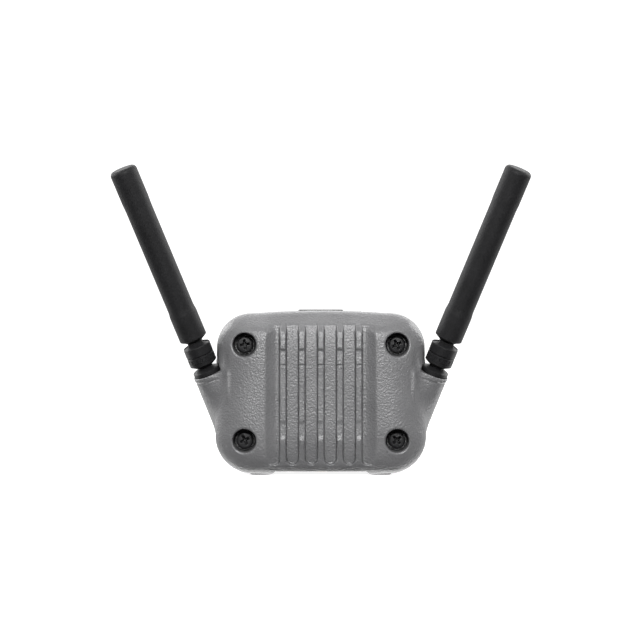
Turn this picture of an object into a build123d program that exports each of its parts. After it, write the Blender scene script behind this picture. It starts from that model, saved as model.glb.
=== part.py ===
from build123d import *
import math
import os

os.makedirs("parts", exist_ok=True)

# ----------------------------------------------------------------------------
# Compact two-antenna wireless receiver unit.  Millimetres, +Z up, +X to the
# right, ribbed face towards -Y.  The origin is the centre of the mouth of the
# quarter-inch thread in the underside.
# ----------------------------------------------------------------------------

# housing outline
Z_BOTTOM = -0.85          # underside of the moulded skids
Z_TOP = 67.55
CORNER_R = 16.0
CORNER_TIGHT = 1.9        # the top corners have a smaller radius by this much
WALL = 2.5
HALF_TOP = 42.95          # half widths of the tapered sides, at the levels below
HALF_FOOT = 44.1
TOP_ARCH = 2.6            # how far the arched top and foot fall back at the corners
FOOT_ARCH = 1.5

# depth stations
Y_FRONT = -27.5           # highest point of the crowned front
Y_SKIRT = -17.5           # where the straight side walls end and the crown begins
Y_SPLIT_F = -7.5          # rear edge of the front shell
Y_SPLIT_R = -6.5          # front edge of the rear shell
Y_REAR = 6.5              # flat rear face
REAR_FILLET = 2.2

# crown sections: depth, side inset, top inset, bottom inset, corner radius
CROWN = [
    (-17.5, 0.0, 0.0, 0.0, 16.8),
    (-20.5, 0.75, 0.6, 0.6, 16.4),
    (-23.0, 2.8, 2.0, 2.2, 15.2),
    (-25.0, 6.6, 4.2, 4.9, 13.2),
    (-26.4, 11.0, 6.8, 8.4, 10.8),
    (-27.2, 15.5, 9.4, 12.4, 8.4),
    (-27.5, 18.5, 11.6, 15.6, 6.8),
]

# ribbed trough
TROUGH_HALF_TOP = 22.8
TROUGH_HALF_FLOOR = 18.3
Y_TROUGH = -24.9
FIN_PITCH = 7.8
FIN_W = 2.1
FIN_Z0, FIN_Z1 = 2.4, 62.6
FIN_CREST = [            # (depth, height) along a fin, from the top down
    (-25.3, 62.6),
    (-27.45, 57.5),
    (-27.45, 51.8),
    (-27.05, 50.9),
    (-27.05, 44.9),
    (-26.8, 44.3),
    (-26.8, 21.9),
    (-26.7, 20.2),
    (-26.7, 15.5),
    (-26.85, 13.9),
    (-24.6, 4.9),
    (-24.0, 2.4),
]

# cover screws (M3.5 pan head)
SCREW_X = 31.5
SCREW_Z = (13.76, 53.36)
HEAD_R, HEAD_T = 3.5, 2.6
SHANK_R = 1.7
Y_HEAD_SEAT = -17.5
CBORE_R = 4.4
CBORE_DRAFT = 3.6

# antenna bosses
MOUTH = (47.2, -16.5, 41.75)
AXIS = (0.349, -0.2437, 0.905)
BOSS_R = 6.0
BOSS_LIP_R = 6.15
BOSS_LEN = 26.0
JACK_BORE_R = 3.2
SEAT_R, SEAT_D = 5.6, 1.8
NUT_POCKET_R = 4.7
RELIEF_R = 6.15

# antenna profile, distances along the axis from the boss mouth
FLANGE_R = 5.5
FLANGE_LIP_R = 5.7
WAIST_R = 3.1
DRUM_R = 5.75
L_SPLIT = 8.55            # swivel line, in the middle of the drum groove
L_PIVOT = 14.0            # tilt pin
L_TIP = 92.0
MAST_R_BASE = 5.78
MAST_R_MID = 5.48
MAST_R_TIP = 5.64
MAST_LEAN = 0.7           # degrees by which the masts stand further out than the bosses
TONGUE_HALF = 0.95
EAR_IN, EAR_OUT = 1.10, 2.90
EAR_R = 3.05
PIN_R = 0.80

# underside and rear mounts
TRIPOD_R = 2.55           # quarter-inch 20 UNC minor radius
TRIPOD_DEPTH = 8.0
REAR_PX, REAR_PZ = 38.1, 30.2
REAR_ZC = 33.0
M4_TAP_R = 1.65

# circuit boards
BOARD_T = 1.6
Y_MAIN = -4.5             # front face of the main board
Y_RADIO = -14.0           # front face of the radio board
BOARD_POINTS = [(-25.5, 21.0), (25.5, 21.0), (-21.0, 57.0), (21.0, 57.0)]


def at_y(y):
    """Sketch plane at depth y: local x is X, local y is Z, extrudes to -Y."""
    return Plane.XZ.offset(-y)


def housing_outline(inset, top, foot, radius):
    """Flat outline with arched top and foot and tapered sides, moved inwards by the insets."""
    with BuildSketch() as sk:
        with BuildLine():
            zt, zf = Z_TOP - top, Z_BOTTOM + foot
            a = (HALF_TOP - inset, zt - TOP_ARCH)
            b = (HALF_FOOT - inset, zf + FOOT_ARCH)
            ThreePointArc((-a[0], a[1]), (0, zt), a)
            Line(a, b)
            ThreePointArc(b, (0, zf), (-b[0], b[1]))
            Line((-b[0], b[1]), (-a[0], a[1]))
        make_face()
        fillet(sk.vertices().group_by(Axis.Y)[0], radius=radius)
        fillet(sk.vertices().group_by(Axis.Y)[-1], radius=radius - CORNER_TIGHT)
    return sk.sketch


OUTLINE = housing_outline(0.0, 0.0, 0.0, CORNER_R)
INSIDE = housing_outline(WALL, WALL, WALL, CORNER_R - WALL)
INSIDE_NARROW = housing_outline(4.7, WALL, WALL, CORNER_R - WALL)
INSIDE_FRONT = housing_outline(11.2, 8.2, 8.2, 8.0)
GASKET_OUTLINE = housing_outline(0.15, 0.15, 0.15, CORNER_R - 0.15)
SECTIONS = [housing_outline(ix, it, ib, min(r, CORNER_R)) for y, ix, it, ib, r in CROWN]


def frame_of(side):
    """Antenna frame of one side: mouth point, axis, tilt-pin axis, lateral axis."""
    m = Vector(side * MOUTH[0], MOUTH[1], MOUTH[2])
    a = Vector(side * AXIS[0], AXIS[1], AXIS[2]).normalized()
    yw = Vector(0, 1, 0)
    yp = (yw - a * yw.dot(a)).normalized()
    xp = yp.cross(a).normalized()
    return m, a, yp, xp


def mast_frame(side):
    """Frame of the mast, leaned outwards about the tilt pin."""
    m, a, yp, xp = frame_of(side)
    t = math.radians(MAST_LEAN) * side
    al = a * math.cos(t) + xp * math.sin(t)
    xl = xp * math.cos(t) - a * math.sin(t)
    return m + a * L_PIVOT - al * L_PIVOT, al, yp, xl


def across(side, l, frame=frame_of):
    """Plane square to the antenna axis at distance l from the boss mouth."""
    m, a, yp, xp = frame(side)
    return Plane(origin=m + a * l, x_dir=xp, z_dir=a)


def along(side, l=0.0, depth=0.0, frame=frame_of):
    """Plane holding the antenna axis: local y runs along it, extrudes towards the viewer side."""
    m, a, yp, xp = frame(side)
    return Plane(origin=m + a * l + yp * depth, x_dir=xp, z_dir=yp * -1)


def antenna_axis(side, frame=frame_of):
    m, a, yp, xp = frame(side)
    return Axis((m.X, m.Y, m.Z), (a.X, a.Y, a.Z))


screw_points = [(sx * SCREW_X, z) for sx in (-1, 1) for z in SCREW_Z]
board_points = BOARD_POINTS
rear_points = [(sx * REAR_PX / 2, REAR_ZC + sz * REAR_PZ / 2) for sx in (-1, 1) for sz in (-1, 1)]

# ----------------------------------------------------------------------------
# front shell: crowned, ribbed cover with the two angled antenna bosses
# ----------------------------------------------------------------------------
with BuildPart() as front_shell:
    with BuildSketch(at_y(Y_SPLIT_F)):
        add(OUTLINE)
    extrude(amount=Y_SPLIT_F - Y_SKIRT)
    for (y, ix, it, ib, r), section in zip(CROWN, SECTIONS):
        with BuildSketch(at_y(y)):
            add(section)
    loft()
    # outer part of the bosses
    for side in (1, -1):
        with BuildSketch(across(side, -BOSS_LEN)):
            Circle(BOSS_R)
        extrude(amount=BOSS_LEN)
        with BuildSketch(across(side, -2.4)):
            Circle(BOSS_LIP_R)
        extrude(amount=2.4)
    # cavity
    with BuildSketch(at_y(Y_SPLIT_F)):
        add(INSIDE)
    extrude(amount=3.5, mode=Mode.SUBTRACT)
    with BuildSketch(at_y(Y_SPLIT_F - 3.4)):
        add(INSIDE_NARROW)
    extrude(amount=7.6, mode=Mode.SUBTRACT)
    with BuildSketch(at_y(Y_SPLIT_F - 11.0)):
        add(INSIDE_NARROW)
    with BuildSketch(at_y(-22.4)):
        add(INSIDE_FRONT)
    loft(mode=Mode.SUBTRACT)
    # trough
    with BuildSketch(Plane.XY.offset(0.5)):
        with BuildLine():
            Polyline(
                (-TROUGH_HALF_TOP - 0.6, Y_FRONT - 2.0),
                (-TROUGH_HALF_TOP, Y_FRONT + 0.2),
                (-TROUGH_HALF_FLOOR, Y_TROUGH),
                (TROUGH_HALF_FLOOR, Y_TROUGH),
                (TROUGH_HALF_TOP, Y_FRONT + 0.2),
                (TROUGH_HALF_TOP + 0.6, Y_FRONT - 2.0),
                close=True,
            )
        make_face()
    extrude(amount=64.0, mode=Mode.SUBTRACT)
    # five raised fins with stepped crests
    for i in range(-2, 3):
        with BuildSketch(Plane.YZ.offset(i * FIN_PITCH - FIN_W / 2)):
            with BuildLine():
                Polyline(*([(-23.6, FIN_Z1)] + FIN_CREST + [(-23.6, FIN_Z0)]), close=True)
            make_face()
        extrude(amount=FIN_W)
    # inner ends of the bosses, which carry the antenna jacks
    for side in (1, -1):
        with BuildSketch(across(side, -11.0)):
            Circle(BOSS_R)
        extrude(amount=11.0)
    # screw pillars
    with BuildSketch(at_y(-15.1)):
        with Locations(*screw_points):
            Circle(6.4)
    extrude(amount=7.9)
    with BuildSketch(at_y(Y_SPLIT_F)):
        with Locations(*screw_points):
            Circle(4.1)
    extrude(amount=8.0)
    # drafted counterbores and screw holes
    with BuildSketch(at_y(Y_HEAD_SEAT)):
        with Locations(*screw_points):
            Circle(CBORE_R)
    extrude(amount=10.5, taper=-CBORE_DRAFT, mode=Mode.SUBTRACT)
    with BuildSketch(at_y(Y_SPLIT_F)):
        with Locations(*screw_points):
            Circle(1.9)
    extrude(amount=12.0, mode=Mode.SUBTRACT)
    # jack bores, flange seats and nut pockets
    for side in (1, -1):
        with BuildSketch(across(side, -12.0)):
            Circle(JACK_BORE_R)
        extrude(amount=12.5, mode=Mode.SUBTRACT)
        with BuildSketch(across(side, -SEAT_D)):
            Circle(SEAT_R)
        extrude(amount=SEAT_D + 1.0, mode=Mode.SUBTRACT)
        with BuildSketch(across(side, -17.0)):
            Circle(NUT_POCKET_R)
        extrude(amount=6.0, mode=Mode.SUBTRACT)
        # passage of the internal lead
        with BuildSketch(across(side, -23.0)):
            Circle(2.6)
        extrude(amount=7.0, mode=Mode.SUBTRACT)
        # scooped relief in the corner of the shell beside the collar and drum
        with BuildSketch(across(side, 0.0)):
            Circle(RELIEF_R)
        extrude(amount=16.0, mode=Mode.SUBTRACT)
    # notch that lets the collar show from the front
    for side in (1, -1):
        with BuildSketch(along(side, 1.8, 0.0)):
            RectangleRounded(11.6, 3.4, 0.5)
        extrude(amount=12.0, mode=Mode.SUBTRACT)
    # flat rear edge
    with BuildSketch(at_y(30.0)):
        Rectangle(200, 200)
    extrude(amount=30.0 - Y_SPLIT_F, mode=Mode.SUBTRACT)
    # shallow recess between the two skids of the underside
    with BuildSketch(at_y(10.0)):
        with BuildLine():
            Polyline((-20.2, -3.0), (-20.2, -0.9), (-18.8, 0.0), (18.8, 0.0), (20.2, -0.9), (20.2, -3.0), close=True)
        make_face()
    extrude(amount=50.0, mode=Mode.SUBTRACT)
front_shell.part.label = "front_shell"
export_step(front_shell.part, "parts/front_shell.step")

# ----------------------------------------------------------------------------
# rear shell: flat back with the mounting inserts, button openings and sockets
# ----------------------------------------------------------------------------
BTN_Y = -0.6              # depth of the top button's centre
BTN_L, BTN_W = 19.0, 5.8
SYNC_Z = 18.0
SYNC_Y = -1.0
SYNC_L, SYNC_H = 8.0, 4.6
with BuildPart() as rear_shell:
    with BuildSketch(at_y(Y_REAR)):
        add(OUTLINE)
    extrude(amount=Y_REAR - Y_SPLIT_R)
    fillet(rear_shell.faces().sort_by(Axis.Y)[-1].edges(), radius=REAR_FILLET)
    with BuildSketch(at_y(Y_REAR - WALL)):
        add(INSIDE)
    extrude(amount=Y_REAR - WALL - Y_SPLIT_R, mode=Mode.SUBTRACT)
    # screw posts, board posts and insert bosses on the back wall
    with BuildSketch(at_y(Y_REAR - WALL + 0.2)):
        with Locations(*screw_points):
            Circle(4.1)
    extrude(amount=Y_REAR - WALL + 0.2 - Y_SPLIT_R)
    with BuildSketch(at_y(Y_REAR - WALL + 0.2)):
        with Locations(*board_points):
            Circle(2.6)
    extrude(amount=Y_REAR - WALL + 0.2 - (Y_MAIN + BOARD_T))
    with BuildSketch(at_y(Y_REAR - WALL + 0.2)):
        with Locations(*rear_points):
            Circle(4.6)
    extrude(amount=5.0)
    # boss of the tripod thread
    with BuildSketch(Plane.XY.offset(-0.4)):
        Circle(5.6)
    extrude(amount=10.2)
    # recess of the underside
    with BuildSketch(at_y(10.0)):
        with BuildLine():
            Polyline((-20.2, -3.0), (-20.2, -0.9), (-18.8, 0.0), (18.8, 0.0), (20.2, -0.9), (20.2, -3.0), close=True)
        make_face()
    extrude(amount=50.0, mode=Mode.SUBTRACT)
    # holes
    with BuildSketch(at_y(2.6)):
        with Locations(*screw_points):
            Circle(2.75)
    extrude(amount=12.0, mode=Mode.SUBTRACT)
    with BuildSketch(at_y(2.5)):
        with Locations(*board_points):
            Circle(1.05)
    extrude(amount=8.0, mode=Mode.SUBTRACT)
    with BuildSketch(at_y(10.0)):
        with Locations(*rear_points):
            Circle(3.0)
    extrude(amount=10.0, mode=Mode.SUBTRACT)
    with BuildSketch(Plane.XY.offset(-1.0)):
        Circle(3.9)
    extrude(amount=TRIPOD_DEPTH + 1.2, mode=Mode.SUBTRACT)
    # audio jack hole and power inlet slot in the underside
    with BuildSketch(Plane.XY.offset(-1.0)):
        with Locations((-12.5, -0.3)):
            Circle(4.05)
    extrude(amount=4.0, mode=Mode.SUBTRACT)
    with BuildSketch(Plane.XY.offset(-1.0)):
        with Locations((12.5, -0.9)):
            RectangleRounded(9.4, 3.8, 1.85)
    extrude(amount=4.0, mode=Mode.SUBTRACT)
    # power button opening and light pipe hole in the top
    with BuildSketch(Plane.XY.offset(64.0)):
        with Locations((0, BTN_Y)):
            RectangleRounded(BTN_L + 0.6, BTN_W + 0.6, 2.6)
    extrude(amount=6.0, mode=Mode.SUBTRACT)
    with BuildSketch(Plane.XY.offset(64.0)):
        with Locations((16.0, BTN_Y)):
            Circle(1.3)
    extrude(amount=6.0, mode=Mode.SUBTRACT)
    # pairing button opening in the right-hand wall
    with BuildSketch(Plane.YZ.offset(40.0)):
        with Locations((SYNC_Y, SYNC_Z)):
            SlotOverall(SYNC_L + 0.6, SYNC_H + 0.6)
    extrude(amount=6.0, mode=Mode.SUBTRACT)
rear_shell.part.label = "rear_shell"
export_step(rear_shell.part, "parts/rear_shell.step")

# ----------------------------------------------------------------------------
# seal between the shells
# ----------------------------------------------------------------------------
with BuildPart() as shell_gasket:
    with BuildSketch(at_y(Y_SPLIT_R)):
        add(GASKET_OUTLINE)
    extrude(amount=Y_SPLIT_R - Y_SPLIT_F)
    with BuildSketch(at_y(Y_SPLIT_R)):
        add(INSIDE)
    extrude(amount=Y_SPLIT_R - Y_SPLIT_F, mode=Mode.SUBTRACT)
    with BuildSketch(at_y(10.0)):
        with BuildLine():
            Polyline((-20.2, -3.0), (-20.2, -0.9), (-18.8, 0.1), (18.8, 0.1), (20.2, -0.9), (20.2, -3.0), close=True)
        make_face()
    extrude(amount=50.0, mode=Mode.SUBTRACT)
shell_gasket.part.label = "shell_gasket"
export_step(shell_gasket.part, "parts/shell_gasket.step")

# two thin rubber feet on the skids
with BuildPart() as rubber_feet:
    with BuildSketch(Plane.XY.offset(Z_BOTTOM + 0.13)):
        with Locations((-25.0, -7.0), (25.0, -7.0)):
            RectangleRounded(8.6, 21.0, 2.5)
    extrude(amount=1.0)
    with BuildSketch(at_y(10.0)):
        add(OUTLINE)
    extrude(amount=40.0, mode=Mode.SUBTRACT)
rubber_feet.part.label = "rubber_feet"
export_step(rubber_feet.part, "parts/rubber_feet.step")

# ----------------------------------------------------------------------------
# cover screws and their inserts
# ----------------------------------------------------------------------------
with BuildPart() as cover_screws:
    with BuildSketch(at_y(Y_HEAD_SEAT)):
        with Locations(*screw_points):
            Circle(HEAD_R)
    extrude(amount=HEAD_T)
    head_rims = cover_screws.faces().filter_by(Axis.Y).sort_by(Axis.Y).group_by(Axis.Y)[0].edges()
    fillet(head_rims, radius=1.0)
    with BuildSketch(at_y(0.0)):
        with Locations(*screw_points):
            Circle(SHANK_R)
    extrude(amount=-Y_HEAD_SEAT)
    # cross recess
    for (sx, sz), turn in zip(screw_points, (25.0, 8.0, 40.0, 35.0)):
        with BuildSketch(at_y(Y_HEAD_SEAT - HEAD_T + 1.5)):
            with Locations(Location((sx, sz), turn)):
                Rectangle(4.0, 0.95)
                Rectangle(0.95, 4.0)
        extrude(amount=4.0, mode=Mode.SUBTRACT)
cover_screws.part.label = "cover_screws"
export_step(cover_screws.part, "parts/cover_screws.step")

with BuildPart() as cover_screw_inserts:
    with BuildSketch(at_y(2.4)):
        with Locations(*screw_points):
            Circle(2.75)
            Circle(1.72, mode=Mode.SUBTRACT)
    extrude(amount=2.4 - Y_SPLIT_R - 0.2)
cover_screw_inserts.part.label = "cover_screw_inserts"
export_step(cover_screw_inserts.part, "parts/cover_screw_inserts.step")

with BuildPart() as rear_mount_inserts:
    with BuildSketch(at_y(Y_REAR)):
        with Locations(*rear_points):
            Circle(3.0)
            Circle(M4_TAP_R, mode=Mode.SUBTRACT)
    extrude(amount=6.4)
rear_mount_inserts.part.label = "rear_mount_inserts"
export_step(rear_mount_inserts.part, "parts/rear_mount_inserts.step")

with BuildPart() as tripod_insert:
    with BuildSketch(Plane.XY):
        Circle(3.9)
        Circle(TRIPOD_R, mode=Mode.SUBTRACT)
    extrude(amount=TRIPOD_DEPTH)
tripod_insert.part.label = "tripod_insert"
export_step(tripod_insert.part, "parts/tripod_insert.step")

# ----------------------------------------------------------------------------
# circuit boards and what they carry
# ----------------------------------------------------------------------------
with BuildPart() as main_circuit_board:
    with BuildSketch(at_y(Y_MAIN + BOARD_T)):
        with Locations((0, 37.2)):
            RectangleRounded(76.0, 50.0, 11.0)
        with Locations(*screw_points):
            Circle(4.8, mode=Mode.SUBTRACT)
        with Locations(*board_points):
            Circle(1.35, mode=Mode.SUBTRACT)
    extrude(amount=BOARD_T)
main_circuit_board.part.label = "main_circuit_board"
export_step(main_circuit_board.part, "parts/main_circuit_board.step")

with BuildPart() as radio_circuit_board:
    with BuildSketch(at_y(Y_RADIO + BOARD_T)):
        with Locations((0, 37.2)):
            RectangleRounded(66.0, 50.0, 11.0)
        with Locations(*screw_points):
            Circle(4.8, mode=Mode.SUBTRACT)
        with Locations(*board_points):
            Circle(1.35, mode=Mode.SUBTRACT)
    extrude(amount=BOARD_T)
radio_circuit_board.part.label = "radio_circuit_board"
export_step(radio_circuit_board.part, "parts/radio_circuit_board.step")

with BuildPart() as board_spacers:
    with BuildSketch(at_y(Y_MAIN)):
        with Locations(*board_points):
            RegularPolygon(2.6, 6)
            Circle(1.3, mode=Mode.SUBTRACT)
    extrude(amount=Y_MAIN - (Y_RADIO + BOARD_T))
board_spacers.part.label = "board_spacers"
export_step(board_spacers.part, "parts/board_spacers.step")

with BuildPart() as board_screws:
    with BuildSketch(at_y(Y_RADIO)):
        with Locations(*board_points):
            Circle(2.3)
    extrude(amount=1.6)
    fillet(board_screws.faces().filter_by(Axis.Y).sort_by(Axis.Y).group_by(Axis.Y)[0].edges(), radius=0.6)
    with BuildSketch(at_y(1.5)):
        with Locations(*board_points):
            Circle(1.05)
    extrude(amount=1.5 - Y_RADIO)
    with BuildSketch(at_y(Y_RADIO - 1.6 + 0.9)):
        with Locations(*board_points):
            Rectangle(2.4, 0.6)
            Rectangle(0.6, 2.4)
    extrude(amount=2.0, mode=Mode.SUBTRACT)
board_screws.part.label = "board_screws"
export_step(board_screws.part, "parts/board_screws.step")

with BuildPart() as board_stack_connector:
    with BuildSketch(at_y(Y_MAIN)):
        with Locations((0, 22.0)):
            Rectangle(24.0, 4.6)
    extrude(amount=Y_MAIN - (Y_RADIO + BOARD_T))
board_stack_connector.part.label = "board_stack_connector"
export_step(board_stack_connector.part, "parts/board_stack_connector.step")

with BuildPart() as left_radio_shield:
    with BuildSketch(at_y(Y_RADIO)):
        with Locations((-13.5, 38.5)):
            RectangleRounded(20.0, 26.0, 0.8)
    extrude(amount=3.2)
    fillet(left_radio_shield.faces().sort_by(Axis.Y)[0].edges(), radius=0.4)
left_radio_shield.part.label = "left_radio_shield"
export_step(left_radio_shield.part, "parts/left_radio_shield.step")

with BuildPart() as right_radio_shield:
    with BuildSketch(at_y(Y_RADIO)):
        with Locations((13.5, 38.5)):
            RectangleRounded(20.0, 26.0, 0.8)
    extrude(amount=3.2)
    fillet(right_radio_shield.faces().sort_by(Axis.Y)[0].edges(), radius=0.4)
right_radio_shield.part.label = "right_radio_shield"
export_step(right_radio_shield.part, "parts/right_radio_shield.step")

with BuildPart() as signal_processor:
    with BuildSketch(at_y(Y_MAIN)):
        with Locations((0, 41.0)):
            Rectangle(14.0, 14.0)
    extrude(amount=1.4)
    chamfer(signal_processor.faces().sort_by(Axis.Y)[0].edges(), length=0.3)
signal_processor.part.label = "signal_processor"
export_step(signal_processor.part, "parts/signal_processor.step")

with BuildPart() as power_converter:
    with BuildSketch(at_y(Y_MAIN)):
        with Locations((22.0, 32.0)):
            RectangleRounded(10.0, 10.0, 1.5)
    extrude(amount=4.2)
    fillet(power_converter.faces().sort_by(Axis.Y)[0].edges(), radius=0.6)
power_converter.part.label = "power_converter"
export_step(power_converter.part, "parts/power_converter.step")

with BuildPart() as filter_capacitors:
    with BuildSketch(at_y(Y_MAIN)):
        with Locations((-18.0, 30.0), (-25.5, 30.0)):
            Circle(3.1)
    extrude(amount=6.0)
    fillet(filter_capacitors.faces().filter_by(Axis.Y).sort_by(Axis.Y).group_by(Axis.Y)[0].edges(), radius=0.5)
filter_capacitors.part.label = "filter_capacitors"
export_step(filter_capacitors.part, "parts/filter_capacitors.step")

# ----------------------------------------------------------------------------
# sockets in the underside
# ----------------------------------------------------------------------------
with BuildPart() as audio_output_jack:
    with BuildSketch(Plane.XY.offset(-0.35)):
        with Locations((-12.5, -0.3)):
            Circle(4.0)
    extrude(amount=2.85)
    with BuildSketch(Plane.XY.offset(2.5)):
        with Locations((-12.5, -0.3)):
            Rectangle(9.6, 8.2)
    extrude(amount=8.4)
    with BuildSketch(Plane.XY.offset(-1.0)):
        with Locations((-12.5, -0.3)):
            Circle(1.80)
    extrude(amount=10.0, mode=Mode.SUBTRACT)
    # the board's lower edge passes in front of the jack body
    with BuildSketch(at_y(Y_MAIN + BOARD_T + 0.2)):
        with Locations((-12.5, 8.0)):
            Rectangle(12.0, 7.0)
    extrude(amount=4.0, mode=Mode.SUBTRACT)
audio_output_jack.part.label = "audio_output_jack"
export_step(audio_output_jack.part, "parts/audio_output_jack.step")

with BuildPart() as power_inlet_socket:
    with BuildSketch(Plane.XY.offset(0.3)):
        with Locations((12.5, -0.9)):
            RectangleRounded(8.9, 3.3, 1.6)
            RectangleRounded(8.3, 2.7, 1.3, mode=Mode.SUBTRACT)
    extrude(amount=7.2)
    with BuildSketch(Plane.XY.offset(7.0)):
        with Locations((12.5, -0.9)):
            RectangleRounded(8.9, 3.3, 1.6)
    extrude(amount=1.2)
    with BuildSketch(Plane.XY.offset(1.6)):
        with Locations((12.5, -0.9)):
            Rectangle(6.6, 0.7)
    extrude(amount=6.0)
    with BuildSketch(at_y(Y_MAIN + BOARD_T)):
        with Locations((12.5, 10.6)):
            Rectangle(8.2, 5.6)
    extrude(amount=-2.3)
power_inlet_socket.part.label = "power_inlet_socket"
export_step(power_inlet_socket.part, "parts/power_inlet_socket.step")

# ----------------------------------------------------------------------------
# power button on the top, pairing button on the right-hand wall, status light
# ----------------------------------------------------------------------------
with BuildPart() as power_button:
    with BuildSketch(Plane.XY.offset(64.6)):
        with Locations((0, BTN_Y)):
            RectangleRounded(BTN_L, BTN_W, 2.3)
    extrude(amount=68.0 - 64.6)
    fillet(power_button.faces().sort_by(Axis.Z)[-1].edges(), radius=0.35)
    with BuildSketch(Plane.XY.offset(63.7)):
        with Locations((0, BTN_Y)):
            RectangleRounded(BTN_L + 2.4, BTN_W + 1.6, 2.8)
    extrude(amount=1.1)
power_button.part.label = "power_button"
export_step(power_button.part, "parts/power_button.step")

with BuildPart() as power_switch:
    with BuildSketch(at_y(Y_MAIN + BOARD_T)):
        with Locations((0, 59.2)):
            Rectangle(6.0, 4.4)
    extrude(amount=-3.4)
    with BuildSketch(Plane.XY.offset(61.4)):
        with Locations((0, Y_MAIN + BOARD_T + 1.8)):
            Circle(1.3)
    extrude(amount=1.2)
power_switch.part.label = "power_switch"
export_step(power_switch.part, "parts/power_switch.step")

with BuildPart() as pairing_button:
    with BuildSketch(Plane.YZ.offset(40.67)):
        with Locations((SYNC_Y, SYNC_Z)):
            SlotOverall(SYNC_L, SYNC_H)
    extrude(amount=44.17 - 40.67)
    fillet(pairing_button.faces().sort_by(Axis.X)[-1].edges(), radius=0.3)
    with BuildSketch(Plane.YZ.offset(40.07)):
        with Locations((SYNC_Y, SYNC_Z)):
            SlotOverall(SYNC_L + 1.4, SYNC_H + 1.4)
    extrude(amount=1.0)
pairing_button.part.label = "pairing_button"
export_step(pairing_button.part, "parts/pairing_button.step")

with BuildPart() as pairing_switch:
    with BuildSketch(at_y(Y_MAIN + BOARD_T)):
        with Locations((36.4, 19.6)):
            Rectangle(3.6, 5.0)
    extrude(amount=-3.2)
    with BuildSketch(Plane.YZ.offset(38.2)):
        with Locations((Y_MAIN + BOARD_T + 1.7, 19.2)):
            Circle(1.0)
    extrude(amount=1.1)
pairing_switch.part.label = "pairing_switch"
export_step(pairing_switch.part, "parts/pairing_switch.step")

with BuildPart() as status_light_pipe:
    with BuildSketch(Plane.XY.offset(60.6)):
        with Locations((16.0, BTN_Y)):
            Circle(1.25)
    extrude(amount=67.35 - 60.6)
    fillet(status_light_pipe.faces().sort_by(Axis.Z)[-1].edges(), radius=0.3)
status_light_pipe.part.label = "status_light_pipe"
export_step(status_light_pipe.part, "parts/status_light_pipe.step")

with BuildPart() as status_led:
    with BuildSketch(at_y(Y_MAIN + BOARD_T)):
        with Locations((16.0, 59.4)):
            Rectangle(3.0, 2.0)
    extrude(amount=-3.4)
status_led.part.label = "status_led"
export_step(status_led.part, "parts/status_led.step")


# ----------------------------------------------------------------------------
# antenna pieces, the same on both sides
# ----------------------------------------------------------------------------
def turned(side, points, frame=frame_of):
    """Closed profile (radius, distance along the axis), revolved about the antenna axis."""
    with BuildPart() as bp:
        with BuildSketch(along(side, frame=frame)):
            with BuildLine():
                Polyline(*points, close=True)
            make_face()
        revolve(axis=antenna_axis(side, frame))
    return bp


def make_base(side):
    """Flanged collar that fills the boss mouth, with a conical neck."""
    return turned(side, [
        (2.45, -1.2), (FLANGE_R - 0.15, -1.2), (FLANGE_R, -1.05), (FLANGE_R, 0.10), (FLANGE_LIP_R, 0.22),
        (FLANGE_LIP_R, 1.35), (FLANGE_LIP_R - 0.3, 1.60), (WAIST_R, 2.60), (WAIST_R, 2.93), (2.45, 2.93)])


def make_seal(side):
    return turned(side, [(3.35, -1.8), (5.35, -1.8), (5.35, -1.2), (3.35, -1.2)])


def make_jack(side):
    """Bulkhead jack: threaded barrel in the boss, plain stem up through the collar."""
    return turned(side, [
        (0.0, -16.0), (1.2, -16.0), (1.2, -13.4), (3.1, -13.4), (3.15, -13.2), (3.15, -1.25),
        (2.4, -1.25), (2.4, 4.7), (0.0, 4.7)])


def make_jack_nut(side):
    with BuildPart() as bp:
        with BuildSketch(across(side, -13.0)):
            RegularPolygon(3.85, 6, major_radius=False)
            Circle(3.17, mode=Mode.SUBTRACT)
        extrude(amount=2.0)
    return bp


def make_coupling_ring(side):
    """Fluted lower half of the drum."""
    with BuildPart() as bp:
        with BuildSketch(along(side)):
            with BuildLine():
                Polyline(
                    (2.45, 2.95), (WAIST_R, 2.95), (DRUM_R - 0.3, 4.35), (DRUM_R, 4.6), (DRUM_R, 5.65),
                    (DRUM_R - 0.2, 5.75), (DRUM_R - 0.2, 5.9), (DRUM_R, 6.0), (DRUM_R, 8.2), (DRUM_R - 0.15, 8.36),
                    (5.40, 8.38), (5.40, L_SPLIT - 0.08), (3.30, L_SPLIT - 0.08), (3.30, 6.15), (4.40, 6.15),
                    (4.40, 4.85), (2.45, 4.85), close=True)
            make_face()
        revolve(axis=antenna_axis(side))
        with BuildSketch(across(side, 6.3)):
            with PolarLocations(DRUM_R + 0.25, 16):
                Circle(0.55)
        extrude(amount=1.3, mode=Mode.SUBTRACT)
    return bp


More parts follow.
